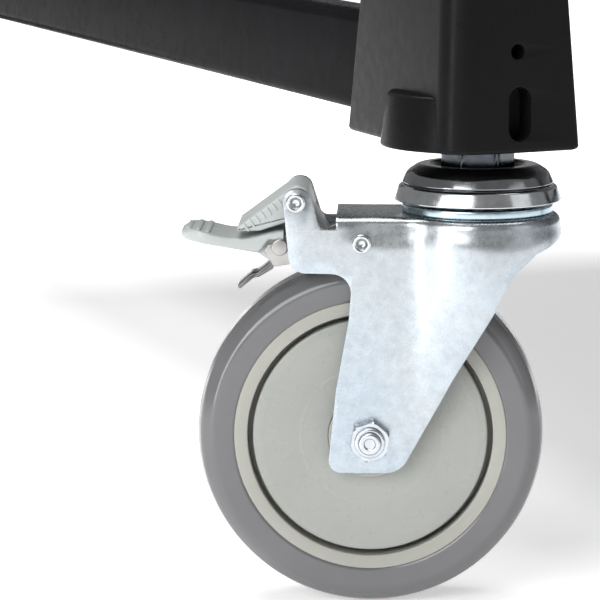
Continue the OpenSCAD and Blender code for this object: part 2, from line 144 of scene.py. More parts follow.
def prism(outline, low, high, bevel=0.0, segments=3):
    """Extrudes an outline along Z and rounds the rims of its two faces."""
    bm = rings_to_mesh([[(x, y, z) for x, y in outline] for z in (low, high)])
    bmesh.ops.recalc_face_normals(bm, faces=bm.faces)
    if bevel:
        rims = [e for e in bm.edges if abs(e.verts[0].co.z - e.verts[1].co.z) < 1e-6]
        bmesh.ops.bevel(bm, geom=rims, offset=bevel, segments=segments, profile=0.5, affect="EDGES")
    return bm


def across(outline, half, bevel, middle=0.0):
    """A side profile (x, z) made solid along the axle, from middle - half to middle + half."""
    bm = prism(outline, -middle - half, -middle + half, bevel)
    bm.transform(UPRIGHT)
    return bm


def hexagon(radius, low, high, turn, chamfer=0.9):
    """Hexagonal bar with a corner at angle turn, its corners turned off by a cone at each end."""
    face = radius * math.cos(math.pi / 6)
    steps, cone_slope = 120, 1.2
    rings = []
    for h, depth in ((low, chamfer), (low + chamfer, 0), (high - chamfer, 0), (high, chamfer)):
        ring = []
        for i in range(steps):
            t = 2 * math.pi * i / steps
            flat = face / math.cos((t - turn) % (math.pi / 3) - math.pi / 6)
            r = min(flat, radius - cone_slope * depth)
            ring.append((r * math.cos(t), r * math.sin(t), h))
        rings.append(ring)
    return rings_to_mesh(rings)


def sweep(path, radius, sides):
    """A round bar along a path; its rings keep a steady twist."""
    rings = []
    across_path = Vector((1, 0, 0))
    turns = [2 * math.pi * k / sides for k in range(sides)]
    for i, point in enumerate(path):
        ahead = (path[min(i + 1, len(path) - 1)] - path[max(i - 1, 0)]).normalized()
        across_path = (across_path - ahead * across_path.dot(ahead)).normalized()
        other = ahead.cross(across_path)
        rings.append([point + radius * (across_path * math.cos(t) + other * math.sin(t)) for t in turns])
    bm = rings_to_mesh(rings)
    bmesh.ops.recalc_face_normals(bm, faces=bm.faces)
    return bm


def joined(*parts):
    """One mesh from several; the parts stay separate shells."""
    whole = bmesh.new()
    for part in parts:
        mesh = bpy.data.meshes.new("part")
        part.to_mesh(mesh)
        part.free()
        whole.from_mesh(mesh)
        bpy.data.meshes.remove(mesh)
    return whole


def at(bm, x, z):
    """Moves a shape to a cross pin or axle at (x, z), turned so that its Z runs along the axle."""
    bm.transform(Matrix.Translation((x, 0, z)) @ ALONG_AXLE)
    return bm


def solid(name, bm, *modifiers):
    """A finished mesh, in millimetres, from a shape and modifiers given as (type, settings)."""
    mesh = bpy.data.meshes.new(name)
    bm.to_mesh(mesh)
    bm.free()
    if not modifiers:
        return mesh
    obj = bpy.data.objects.new(name, mesh)
    bpy.context.scene.collection.objects.link(obj)
    for kind, settings in modifiers:
        modifier = obj.modifiers.new(kind.lower(), kind)
        for key, value in settings.items():
            setattr(modifier, key, value)
    bpy.context.view_layer.update()
    out = bpy.data.meshes.new_from_object(obj.evaluated_get(bpy.context.evaluated_depsgraph_get()))
    bpy.data.objects.remove(obj)
    return out


def edge_bevel(width, segments, angle):
    """Modifier settings that round every edge sharper than an angle in degrees."""
    return "BEVEL", {"width": width, "segments": segments, "limit_method": "ANGLE",
                     "angle_limit": math.radians(angle), "use_clamp_overlap": True}


def thicken(thickness):
    """Modifier settings that give a surface the thickness of its sheet, inwards."""
    return "SOLIDIFY", {"thickness": thickness, "offset": -1, "use_even_offset": True}


def put(name, mesh, place, body, look, stands_for=(), sharp=32):
    """Places a copy of a mesh in the cart's frame as a piece that rides on a body."""
    data = mesh.copy()
    data.transform(place)
    if place.determinant() < 0:
        data.flip_normals()
    data.name = name
    data.materials.clear()
    data.materials.append(look)
    data.shade_smooth()
    data.set_sharp_from_angle(angle=math.radians(sharp))
    obj = bpy.data.objects.new(name, data)
    bpy.context.scene.collection.objects.link(obj)
    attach(obj, body)
    if stands_for:
        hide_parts(*stands_for)


# ---------------------------------------------------------------- materials

class Look:
    """A Principled material whose detail comes from noise in object coordinates (metres)."""

    MIX_FACTOR, MIX_A, MIX_B, MIX_RESULT = 0, 6, 7, 2  # colour sockets of the Mix node

    def __init__(self, name, **sockets):
        self.material = bpy.data.materials.new(name)
        self.material.use_nodes = True
        self.tree = self.material.node_tree
        self.shader = self.tree.nodes["Principled BSDF"]
        self.where = self.add("ShaderNodeTexCoord").outputs["Object"]
        self.normal = None
        for key, value in sockets.items():
            self.shader.inputs[key.replace("_", " ")].default_value = value

    def add(self, kind, **settings):
        """A new node with its settings."""
        node = self.tree.nodes.new(kind)
        for key, value in settings.items():
            setattr(node, key, value)
        return node

    def noise(self, scale, detail, rough=0.5):
        """A noise factor; a larger scale is a finer pattern."""
        node = self.add("ShaderNodeTexNoise")
        node.inputs["Scale"].default_value = scale
        node.inputs["Detail"].default_value = detail
        node.inputs["Roughness"].default_value = rough
        self.tree.links.new(self.where, node.inputs["Vector"])
        return node.outputs["Fac"]

    def ramp(self, factor, stops):
        """Colours picked along a factor, from (position, colour) stops."""
        node = self.add("ShaderNodeValToRGB")
        elements = node.color_ramp.elements
        while len(elements) < len(stops):
            elements.new(0.5)
        for element, (position, colour) in zip(elements, stops):
            element.position = position
            element.color = (*colour, 1)
        self.tree.links.new(factor, node.inputs["Fac"])
        return node.outputs["Color"]

    def colour(self, output):
        """Feeds the base colour."""
        self.tree.links.new(output, self.shader.inputs["Base Color"])
        return self

    def multiply(self, factor, a, b):
        """Colour a, tinted by colour b as far as a fixed factor says."""
        node = self.add("ShaderNodeMix", data_type="RGBA", blend_type="MULTIPLY")
        node.inputs[self.MIX_FACTOR].default_value = factor
        self.tree.links.new(a, node.inputs[self.MIX_A])
        self.tree.links.new(b, node.inputs[self.MIX_B])
        return node.outputs[self.MIX_RESULT]

    def roughness(self, factor, low, high):
        """Spreads the usual span of a noise factor over a range of roughness."""
        node = self.add("ShaderNodeMapRange")
        node.inputs["From Min"].default_value = 0.3
        node.inputs["From Max"].default_value = 0.7
        node.inputs["To Min"].default_value = low
        node.inputs["To Max"].default_value = high
        self.tree.links.new(factor, node.inputs["Value"])
        self.tree.links.new(node.outputs["Result"], self.shader.inputs["Roughness"])
        return self

    def bump(self, height, strength, distance):
        """Lays one more level of relief over the ones before it."""
        node = self.add("ShaderNodeBump")
        node.inputs["Strength"].default_value = strength
        node.inputs["Distance"].default_value = distance
        self.tree.links.new(height, node.inputs["Height"])
        if self.normal:
            self.tree.links.new(self.normal, node.inputs["Normal"])
        self.normal = node.outputs["Normal"]
        self.tree.links.new(self.normal, self.shader.inputs["Normal"])
        return self


def grey(level):
    """A neutral colour."""
    return (level, level, level)


def scaled(colour, factor):
    """A colour made darker or lighter, with each channel kept at 1 or less."""
    return tuple(min(1, factor * c) for c in colour)


def zinc_look(name, tint, rough):
    """Bright zinc plate: cloudy, with faint blue and straw patches and fine rolling marks."""
    look = Look(name, Metallic=1.0)
    cloud = look.ramp(look.noise(260, 6, rough=0.65),
                      [(0.32, scaled(tint, 0.9)), (0.5, tint), (0.68, scaled(tint, 1.07))])
    film = look.ramp(look.noise(22, 2),
                     [(0.35, (0.84, 0.92, 1.0)), (0.5, grey(1.0)), (0.68, (1.0, 0.97, 0.90))])
    look.colour(look.multiply(0.5, cloud, film))
    look.roughness(look.noise(300, 4, rough=0.7), rough - 0.05, rough + 0.06)
    look.bump(look.noise(700, 2), 0.1, 0.00003)
    look.bump(look.noise(60, 2), 0.3, 0.0003)
    return look.material


def moulded_look(name, base, rough, grain=1500, depth=0.00004, **sockets):
    """Moulded plastic with a fine texture and a slightly uneven shade."""
    look = Look(name, **sockets)
    look.colour(look.ramp(look.noise(30, 3), [(0.3, scaled(base, 0.94)), (0.7, scaled(base, 1.06))]))
    look.roughness(look.noise(220, 3), rough - 0.05, rough + 0.06)
    look.bump(look.noise(grain, 2), 0.25, depth)
    return look.material


def paint_look(name, base):
    """Gloss powder coat with a light orange peel."""
    look = Look(name, Specular_IOR_Level=0.006)
    look.colour(look.ramp(look.noise(25, 2), [(0.3, scaled(base, 0.8)), (0.7, scaled(base, 1.2))]))
    look.roughness(look.noise(160, 3), 0.2, 0.3)
    look.bump(look.noise(260, 2), 0.1, 0.00005)
    return look.material


ZINC = zinc_look("zinc_plate", (0.425, 0.46, 0.49), 0.27)
RACE = zinc_look("blue_zinc_plate", (0.40, 0.50, 0.56), 0.22)
STEM = zinc_look("plated_fastener", (0.50, 0.52, 0.54), 0.22)
SPRING = zinc_look("spring_steel", (0.15, 0.15, 0.155), 0.2)
CHEEK = zinc_look("cheek_steel", (0.36, 0.35, 0.34), 0.34)
POLISHED = zinc_look("polished_zinc", (0.56, 0.585, 0.61), 0.16)
# The stem's zinc gets a near-black tint: painted shade for the shadow that the stem and its collar sit
# in under the foot.
STEM_PAINTED_SHADE = zinc_look("stem_zinc_painted_shade", (0.075, 0.085, 0.10), 0.24)
# The cap's chrome is tinted well below plain chrome: a painted dim reflection of the black foot and the
# dark surroundings that the dome mirrors.
CAP_CHROME_PAINTED_DIM = zinc_look("dark_chrome", (0.27, 0.28, 0.295), 0.13)
FOOT = moulded_look("foot_moulding", (0.006, 0.006, 0.0065), 0.3, Specular_IOR_Level=0.07)
PAINT = paint_look("black_gloss_paint", (0.006, 0.006, 0.007))
TRAY = moulded_look("tray_moulding", (0.028, 0.028, 0.03), 0.42)
MAT = moulded_look("ribbed_rubber", (0.16, 0.165, 0.17), 0.62)
GRIP = moulded_look("grip_rubber", (0.02, 0.02, 0.021), 0.6)
TYRE = moulded_look("tyre_polyurethane", (0.115, 0.115, 0.12), 0.2, grain=500, depth=0.00003,
                    Coat_Weight=0.2, Coat_Roughness=0.12)
CORE = moulded_look("core_moulding", (0.31, 0.31, 0.28), 0.36)
COVER = moulded_look("cover_moulding", (0.28, 0.29, 0.27), 0.3)
PEDAL = moulded_look("pedal_moulding", (0.36, 0.385, 0.38), 0.36)


# ---------------------------------------------------------------- casters

# The wheel, and the pins of the brake as (distance behind the swivel axis, height)
TRAIL, WHEEL_R = 38.35, 62.5
RELEASE_PIVOT = (64.95, 147.9)
ROCKER_PIVOT = (41.5, 133.3)
PEDAL_PIN = (70.8, 131.3)
PEDAL_HALF, LEVER_HALF = 17.3, 16.5

# The fork: its sheet, its round head, and where the plates swing out to the head and flare up to it
PLATE_OUT, SHEET = 22.0, 3.0
HEAD_R, PLATE_TOP, BEND_R = 30.8, 142.5, 3.4
SHOULDER = PLATE_TOP - BEND_R
FLARE_START, FLARE_END = 25.0, 13.0
FLARE_LOW, FLARE_HIGH = 62.0, 126.0
WEB_END, PLAIN_WEB_END = 50.6, 44.0
LEAN = 0.95

# Bores and faces where the caster's pieces meet
AXLE_BORE, BEARING_R, BEARING_FACE = 4.05, 11.0, 16.8
COVER_BORE, TYRE_BORE = 15.1, 49.2
STEM_BORE, CAP_Z, COLLAR_Z = 8.05, 152.6, 157.0
FOOT_Z, FOOT_TOP = 166.5, 262.0
WHEEL_STEPS = 160


def fork_plan(s):
    """Point and outward normal of the fork's wall seen from above, s millimetres along it."""
    turn = math.acos(FLARE_END / HEAD_R)
    if s >= FLARE_START:
        return Vector((s, PLATE_OUT)), Vector((0, 1))
    if s <= FLARE_END:
        turn += (FLARE_END - s) / HEAD_R
        out = Vector((math.cos(turn), math.sin(turn)))
        return out * HEAD_R, out
    span = FLARE_START - FLARE_END
    t = (FLARE_START - s) / span
    rise = HEAD_R * math.sin(turn) - PLATE_OUT
    slope = FLARE_END / (HEAD_R * math.sin(turn)) * span
    w = PLATE_OUT + rise * (3 * t * t - 2 * t ** 3) + slope * (t ** 3 - t * t)
    dw = (rise * (6 * t - 6 * t * t) + slope * (3 * t * t - 2 * t)) / span
    return Vector((s, w)), Vector((dw, 1)).normalized()


def wall_point(s, z):
    """The plate flares towards the head and leans in a little under its fold."""
    spot, out = fork_plan(s)
    flare = smooth_step(z, FLARE_LOW, FLARE_HIGH)
    start = 131.5 + 1.3 * math.sin(s / 6.5)
    lean = LEAN * smooth_step(z, start, 140.5) * smooth_step(52 - s, 0, 12)
    return Vector((spot.x - lean * out.x, PLATE_OUT + (spot.y - PLATE_OUT) * flare - lean * out.y, z))


def fork_outline(braked):
    """Side outline of one wall, as (distance along it, height); the nose is at the low end."""
    nose = FLARE_END - HEAD_R * (math.pi - math.acos(FLARE_END / HEAD_R))
    ear = [(WEB_END, SHOULDER, 0), (WEB_END, 138.3, 0.6), (56.4, 138.3, 3), (60.9, 152.7, 4.5),
           (69.9, 152.7, 4.5), (67, 122.7, 6)]
    plain = [(46.5, SHOULDER, 2)]
    leg = [(44.8, 122.3, 7), (46, 106, 20), (50.6, 80, 25), (53.6, 50.2, 4.5), (27.6, 50.2, 9),
           (9.3, 83.4, 0), (-5.4, 108.4, 12), (-12.5, 122.5, 8), (-23, 130, 4), (nose, 136.5, 0),
           (nose, SHOULDER, 0)]
    return rounded((ear if braked else plain) + leg, 8)


def fork_mesh(braked):
    """Pressed fork: two flared side walls and a head, folded from one sheet."""
    bm = bmesh.new()
    outline = fork_outline(braked)
    bm.faces.new([bm.verts.new((s, 0, z)) for s, z in outline])
    # Cuts across the flat wall, closer together under the fold, let it bend smoothly
    low, gap, last_cut, merge = min(s for s, z in outline), 2.4, 66, 0.02
    cuts = [((low + k * gap, 0, 0), (1, 0, 0)) for k in range(1, int((last_cut - low) / gap))]
    cuts += [((0, 0, z), (0, 0, 1)) for z in [*range(56, 126, 6), *range(127, 139)]]
    for point, normal in cuts:
        bmesh.ops.bisect_plane(bm, geom=bm.verts[:] + bm.edges[:] + bm.faces[:], dist=1e-4,
                               plane_co=point, plane_no=normal)
    end = WEB_END if braked else PLAIN_WEB_END
    top = sorted((v for v in bm.verts if abs(v.co.z - SHOULDER) < 1e-3 and v.co.x <= end + 1e-3),
                 key=lambda v: v.co.x)
    stations = [v.co.x for v in top]
    for v in bm.verts:
        v.co = wall_point(v.co.x, v.co.z)
    rows = [top]
    steps = 6
    for k in range(1, steps + 1):
        turn = math.pi / 2 * k / steps
        row = []
        for s in stations:
            out = fork_plan(s)[1]
            spot = wall_point(s, SHOULDER).xy - out * BEND_R * (1 - math.cos(turn))
            row.append(bm.verts.new((spot.x, max(0, spot.y), SHOULDER + BEND_R * math.sin(turn))))
        rows.append(row)
    for a, b in zip(rows, rows[1:]):
        for i in range(len(a) - 1):
            bm.faces.new((a[i], a[i + 1], b[i + 1], b[i]))
    rim = [bm.verts.new((v.co.x, 0, v.co.z)) for v in rows[-1]]
    for i in range(len(rim) - 1):
        bm.faces.new((rows[-1][i], rows[-1][i + 1], rim[i + 1], rim[i]))
    bmesh.ops.mirror(bm, geom=bm.verts[:] + bm.edges[:] + bm.faces[:], axis="Y", merge_dist=merge)
    bmesh.ops.remove_doubles(bm, verts=bm.verts, dist=merge)
    bmesh.ops.recalc_face_normals(bm, faces=bm.faces)
    return solid("fork", bm, thicken(SHEET), edge_bevel(0.55, 2, 50))


def rivet_head(side):
    """Rolled head of a tubular rivet, dished round its hole."""
    profile = rounded([(0, 0.2, 0), (1.1, 0.3, 1), (2.1, 1.5, 0.6), (2.7, 1.85, 0.5), (3.5, 1.3, 0.5),
                       (3.5, 0, 0.2), (2.5, -0.2, 0), (0, -0.2, 0)], 4)
    bm = lathe(profile, 48, closed=False)
    bm.transform(Matrix.Translation((0, 0, side * PLATE_OUT)) @ Matrix.Diagonal((1, 1, side, 1)))
    if side < 0:
        bmesh.ops.reverse_faces(bm, faces=bm.faces)
    return bm


def rivets_mesh():
    """The brake's two tubular rivets, right across the fork."""
    bore, outside = 1.5, 2.5
    tube = [(bore, -PLATE_OUT), (outside, -PLATE_OUT), (outside, PLATE_OUT), (bore, PLATE_OUT)]
    parts = []
    for pivot in (RELEASE_PIVOT, ROCKER_PIVOT):
        parts.append(at(lathe(tube, 32), *pivot))
        parts += [at(rivet_head(side), *pivot) for side in (1, -1)]
    return solid("rivets", joined(*parts))


def axle_mesh():
    """Bolt, lock nut with its round collar, and spacers."""
    bolt = lathe(rounded([(0, -PLATE_OUT, 0), (4, -PLATE_OUT, 0), (4, 31, 0.8), (2.2, 31, 0.3),
                          (1.8, 30.5, 0.3), (0, 30.5, 0)], 4), 48, closed=False)
    turn, nut_r, nut_face = math.radians(20), 7.5, 27.5
    parts = [bolt, hexagon(nut_r, -nut_face, -PLATE_OUT, turn),
             hexagon(nut_r, PLATE_OUT, nut_face, turn, 0.5),
             lathe(rounded([(4, 27, 0), (5.5, 27, 0), (5.5, 29.4, 0.8), (4, 29.4, 0.3)], 4), 48)]
    for side in (1, -1):
        low, high = sorted((side * 17.2, side * 19.0))
        parts.append(lathe([(AXLE_BORE, low), (8, low), (8, high), (AXLE_BORE, high)], 48))
    return solid("axle", joined(*[at(p, TRAIL, WHEEL_R) for p in parts]))


def wheel_ring(profile, name):
    """A part of the wheel from its (radius, distance along the axle) profile."""
    return solid(name, at(lathe(profile, WHEEL_STEPS), TRAIL, WHEEL_R))


def both_sides(profile):
    """A profile given for the near half, continued round the far half."""
    return profile + [(r, -w) for r, w in reversed(profile)]


def tyre_mesh():
    """Tread and side walls, with a small step down to the wheel core."""
    half = rounded([(TYRE_BORE, 0, 0), (TYRE_BORE, 15.0, 0.3), (50.0, 15.3, 0.3), (57.4, 15.9, 4),
                    (61.4, 12.2, 5), (WHEEL_R, 6.5, 8), (WHEEL_R, 0, 0)], 8)
    return wheel_ring(both_sides(half[1:-1]), "tyre")


def core_mesh():
    """Moulded core: a hub for the bearings, a web and the rim that shows round the cover."""
    half = rounded([(11.05, 0, 0), (11.05, BEARING_FACE, 0.4), (15, BEARING_FACE, 0.6), (15, 5, 0),
                    (44.3, 5, 0), (44.3, 14.9, 0.5), (TYRE_BORE, 15.2, 0.5), (TYRE_BORE, 0, 0)], 4)
    return wheel_ring(both_sides(half[1:-1]), "core")


def covers_mesh():
    """Hub covers, slightly dished, each with a shallow step round its middle."""
    face = [(COVER_BORE, 6, 0), (42.4, 6, 0), (42.4, 14.2, 0.9), (39, 14.4, 3), (25.6, 14.3, 0.3),
            (25.0, 14.45, 0.3), (20, 14.6, 3), (COVER_BORE, 14.7, 0.4)]
    near = lathe(rounded(face, 5), WHEEL_STEPS)
    far = near.copy()
    far.transform(Matrix.Rotation(math.pi, 4, "X"))
    return solid("covers", joined(at(near, TRAIL, WHEEL_R), at(far, TRAIL, WHEEL_R)))


def bearings_mesh():
    """The two wheel bearings, one in each end of the hub."""
    parts = []
    for side in (1, -1):
        low, high = sorted((side * 8.0, side * BEARING_FACE))
        ring = rounded([(AXLE_BORE, low, 0.2), (BEARING_R, low, 0.3), (BEARING_R, high, 0.3),
                        (AXLE_BORE, high, 0.2)], 2)
        parts.append(at(lathe(ring, 48), TRAIL, WHEEL_R))
    return solid("bearings", joined(*parts))


def race_mesh():
    """Lower race ring and its balls."""
    track_r, ball_r, ball_z, count = 19, 2.4, 148.4, 16
    ring = lathe(rounded([(12, PLATE_TOP, 0), (27.2, PLATE_TOP, 0.8), (27.2, 146, 1.2), (21.5, 146, 0.5),
                          (track_r, 145.2, 1), (16.5, 146, 0.5), (12, 146, 0)], 5), 96)
    balls = []
    for i in range(count):
        ball = bmesh.new()
        t = 2 * math.pi * i / count
        middle = Matrix.Translation((track_r * math.cos(t), track_r * math.sin(t), ball_z))
        bmesh.ops.create_uvsphere(ball, u_segments=16, v_segments=10, radius=ball_r, matrix=middle)
        balls.append(ball)
    return solid("race", joined(ring, *balls))


def stem_mesh(turn):
    """Threaded stem, hexagonal collar and riveted king pin."""
    pin = lathe(rounded([(0, 134.5, 0), (11, 134.5, 2), (12, 139.2, 0.5), (8, 139.2, 0),
                         (8, COLLAR_Z, 0), (0, COLLAR_Z, 0)], 4), 48, closed=False)
    collar = hexagon(13.3, COLLAR_Z, FOOT_Z, turn, 0.6)
    crest, depth, rise, stem_end = 6, 0.5, 0.8, 196
    grooves = [(crest - depth * (k % 2), FOOT_Z + rise * k) for k in range(1, 36)]
    thread = lathe([(0, FOOT_Z), (crest, FOOT_Z)] + grooves + [(0, stem_end)], 48, closed=False)
    return solid("stem", joined(pin, collar, thread))


def cap_mesh():
    """Domed cap over the swivel head, dished round the collar."""
    profile = [(STEM_BORE, CAP_Z, 0), (26.7, CAP_Z, 0.3), (27.3, 153.4, 0.5), (25.6, 157.2, 5),
               (21.5, 159.9, 5), (17.2, 160, 1.2), (15.6, COLLAR_Z, 1.2), (STEM_BORE, COLLAR_Z, 0)]
    return solid("cap", lathe(rounded(profile, 8), 128))


def dust_ring_mesh():
    """Flared ring that hangs over the ball race."""
    profile = [(STEM_BORE, 151.4, 0), (26.6, 151.4, 1), (28.9, 147.0, 0.4), (29.4, 146.8, 0.25),
               (30.2, 146.9, 0.4), (28.6, 151.8, 1.2), (27.6, CAP_Z, 0.5), (STEM_BORE, CAP_Z, 0)]
    return solid("dust_ring", lathe(rounded(profile, 6), 128))


# ---------------------------------------------------------------- brake

def pedal_mesh():
    """Long crowned paddle with a round tip, cross grips and a knuckle on the pin."""
    plan_radius, tip = 10.8, 106.6

    def top(x):
        rise = 2.4 * smooth_step(x, 87, 102) + 2.8 * smooth_step(87 - x, 2, 18)
        return 135.2 + rise - 1.6 * smooth_step(x, 103.5, 107)

    def bottom(x):
        under = 129.1 + (x - 79) * 0.164
        return under + 5.4 * smooth_step(79 - x, 0, 5) + 0.5 * smooth_step(x, 104, 107)

    def half(x):
        past = max(0.0, x - tip + plan_radius)
        return PEDAL_HALF - plan_radius + math.sqrt(plan_radius ** 2 - past ** 2)

    stations = [69.5 + 0.9 * k for k in range(40)] + [105.3, 105.8, 106.2, 106.5]
    rings = []
    for x in stations:
        wide, high, low = half(x), top(x), bottom(x)
        bend = max(0.05, min(1.7, wide * 0.8, (high - low) * 0.48))
        ring = rectangle(-wide, wide, low, high, bend, 6)
        rings.append([(x, -w, z - (w / PEDAL_HALF) ** 2 * (z > high - 1)) for w, z in ring])
    blade = rings_to_mesh(rings)
    bmesh.ops.recalc_face_normals(blade, faces=blade.faces)
    grips = []
    for x in (96.8, 100.2, 103.6):
        wide = half(x + 1) - 3.2
        bar = prism(rectangle(-0.9, 0.9, -wide, wide, 0.85, 4), -1.6, 0.25, 0.3, 2)
        bar.transform(Matrix.Translation((x, 0, top(x) - 0.35)) @ Matrix.Rotation(-0.1, 4, "Y"))
        grips.append(bar)
    knuckle = across(rounded([(80, 129.8, 1), (77.5, 135, 1), (65, 135.5, 2), (64.6, 127.2, 3),
                              (74.2, 125.8, 3)]), 15.0, 0.8)
    return solid("pedal", joined(blade, *grips, knuckle))


def lever_mesh():
    """Release lever: a hub on its rivet, a sloping blade with plain ridges, and a tail."""
    crown, brow = (69.6, 150.5), (86.0, 138.4)
    blade = across(rounded([(58.3, 143.6, 0.8), (60.9, 151.8, 3), (64.8, 153.9, 3.6), (*crown, 4),
                            (*brow, 1), (86.2, 136.7, 0.4), (78, 137.0, 3), (70, 139.6, 3),
                            (62, 141.7, 2)], 8), LEVER_HALF, 1.0)
    tail = across(rounded([(58.8, 145, 0), (53.2, 136.1, 0.7), (55.2, 135.5, 0.7), (59.6, 141.6, 3),
                           (63, 143, 0), (63, 148, 0)]), 8, 0.5)
    slope = math.atan2(crown[1] - brow[1], brow[0] - crown[0])
    ridges, proud, gap = [], 0.35, 2
    for side in (1, -1):
        for k in range(7):
            ridge = prism(rectangle(-0.45, 0.45, -1.7, 1.7, 0.4, 4), -proud, proud, 0.15, 2)
            along = Vector((70.8 + gap * k, side * LEVER_HALF, 147.2 - gap * k * math.tan(slope)))
            ridge.transform(Matrix.Translation(along) @ Matrix.Rotation(slope, 4, "Y") @ UPRIGHT)
            ridges.append(ridge)
    return solid("lever", joined(blade, tail, *ridges))


def rocker_mesh():
    """Two cheek plates from the rocker rivet to the pedal, held by the pedal's pin."""
    cheek = [(36.6, 128.4, 4.5), (36.6, 138.2, 4.5), (48, 136.9, 6), (58, 132.4, 3), (74.8, 132.4, 1.5),
             (76.2, 130.2, 1), (72.9, 124.2, 1.5), (60, 126.5, 3), (50, 127.7, 3)]
    parts = [across(rounded(cheek), 1.0, 0.25, side * 16.3) for side in (1, -1)]
    pin_r, head_r, under_head, end = 2.5, 3, 17.3, 18.1
    pin = rounded([(0, -end, 0), (head_r, -end, 0.5), (head_r, -under_head, 0.1),
                   (pin_r, -under_head, 0), (pin_r, under_head, 0), (head_r, under_head, 0.1),
                   (head_r, end, 0.5), (0, end, 0)], 3)
    parts.append(at(lathe(pin, 32, closed=False), *PEDAL_PIN))
    return solid("rocker", joined(*parts))


def shoe_mesh():
    """Spring leaf with an eye on the pedal's pin."""
    leaf = [(73.6, 128.8, 0), (75, 123.9, 1), (79.4, 120.4, 1.5), (81.4, 120, 1), (86.6, 115.6, 0.6),
            (85.7, 114.5, 0.4), (80.6, 118.6, 1), (78.8, 118.9, 1.5), (73.8, 121.8, 2), (70, 128.4, 0)]
    half, bore, outside = 6.5, 2.55, 4.6
    ring = rounded([(bore, -half, 0), (outside, -half, 0.3), (outside, half, 0.3), (bore, half, 0)], 2)
    return solid("shoe", joined(across(rounded(leaf), half, 0.35), at(lathe(ring, 32), *PEDAL_PIN)))


def spring_mesh():
    """Torsion spring wound round the rocker rivet, with a straight leg."""
    turns, wire, radius, steps = 5.5, 0.6, 3.5, 24
    path = []
    for k in range(int(turns * steps) + 1):
        t = 2 * math.pi * k / steps
        along = (k / steps - turns / 2) * 2.1 * wire
        path.append(Vector((radius * math.cos(t), radius * math.sin(t), along)))
    path.append(path[-1] + Vector((0, -9, 0)))
    return solid("spring", at(sweep(path, wire, 10), *ROCKER_PIVOT))


def build_casters():
    """Four casters, the front two with a brake; each mesh is made once and placed four times."""
    forks = {True: fork_mesh(True), False: fork_mesh(False)}
    race, axle, bearings = race_mesh(), axle_mesh(), bearings_mesh()
    tyre, core, covers = tyre_mesh(), core_mesh(), covers_mesh()
    stem, cap, ring = stem_mesh(math.radians(-20)), cap_mesh(), dust_ring_mesh()
    brake = {"brake_pedal": (pedal_mesh(), "pedal", "pedal_plastic", PEDAL),
             "release_lever": (lever_mesh(), "release", "pedal_plastic", PEDAL),
             "brake_rocker": (rocker_mesh(), "pedal", "stem_steel", CHEEK),
             "brake_shoe": (shoe_mesh(), "pedal", "spring_steel", SPRING),
             "brake_rivets": (rivets_mesh(), "swivel_front", "stem_steel", STEM),
             "brake_spring": (spring_mesh(), "swivel_front", "spring_steel", SPRING)}
    for corner in CORNERS:
        place = caster_frame(corner)
        swivel, wheel = "swivel_" + corner, "wheel_" + corner
        for name, mesh, body, slot, look in (
                ("fork", forks[corner in BRAKED], swivel, "zinc_steel", ZINC),
                ("ball_race", race, swivel, "race_steel", RACE),
                ("axle", axle, swivel, "stem_steel", STEM),
                ("tyre", tyre, wheel, "tyre_rubber", TYRE),
                ("wheel_core", core, wheel, "core_plastic", CORE),
                ("hub_covers", covers, wheel, "cover_plastic", COVER),
                ("wheel_bearings", bearings, wheel, "bearing_steel", STEM)):
            put(f"{name}_{corner}_skin", mesh, place, body, look, [f"{name}_{corner}"])
        if corner in BRAKED:
            side = BRAKED[corner]
            for name, (mesh, body, slot, look) in brake.items():
                put(f"{name}_{side}_skin", mesh, place, f"{body}_{side}", look, [f"{name}_{side}"])
        head = Matrix.Translation(place.translation) @ MM
        for name, mesh, slot, look in (
                # The stem's look carries painted shade.
                ("caster_stem", stem, "stem_steel", STEM_PAINTED_SHADE),
                # The cap's look carries a painted dim reflection.
                ("swivel_cap", cap, "dark_chrome", CAP_CHROME_PAINTED_DIM),
                ("dust_ring", ring, "zinc_steel", POLISHED)):
            put(f"{name}_{corner}", mesh, head, "frame", look,
                [name + "s"] if corner == CORNERS[0] else ())


# ---------------------------------------------------------------- feet and frame

DRAFT_OUT, DRAFT_IN, DRAFT_FRONT, DRAFT_REAR = 0.03, 0.084, 0.02, 0.165


def foot_ring(z, inset):
    """Outline of the foot at height z, drawn in by inset."""
    h = z - FOOT_Z
    x0, x1 = -26 + DRAFT_OUT * h + inset, 27 - DRAFT_IN * h - inset
    y0, y1 = -33 + DRAFT_FRONT * h + inset, 65 - DRAFT_REAR * h - inset
    points = [(x0, y0 + 1, 10 - inset), (-7, y0, 100), (x1, y0 + 3.5, 2.6), (x1, y1, 3), (x0, y1, 3)]
    return [(x, y, z) for x, y in rounded(points, 10)]


def box_cutter(x0, x1, y0, y1, z0, z1, radius):
    """A cutting block along Y with rounded corners in the end view."""
    bm = prism(rectangle(x0, x1, z0, z1, radius, 8), -y1, -y0)
    bm.transform(UPRIGHT)
    return bm


def cut(mesh_shape, cutters):
    """Subtracts each cutter from a shape and returns the result as a new shape."""
    target = bpy.data.objects.new("target", bpy.data.meshes.new("target"))
    mesh_shape.to_mesh(target.data)
    tools = []
    for cutter in cutters:
        tool = bpy.data.objects.new("cutter", bpy.data.meshes.new("cutter"))
        bmesh.ops.recalc_face_normals(cutter, faces=cutter.faces)
        cutter.to_mesh(tool.data)
        tools.append(tool)
    for obj in [target] + tools:
        bpy.context.scene.collection.objects.link(obj)
    for tool in tools:
        modifier = target.modifiers.new("cut", "BOOLEAN")
        modifier.object = tool
        modifier.operation = "DIFFERENCE"
        modifier.solver = "EXACT"
    bpy.context.view_layer.update()
    out = bmesh.new()
    out.from_object(target, bpy.context.evaluated_depsgraph_get())
    for obj in [target] + tools:
        bpy.data.objects.remove(obj)
    return out


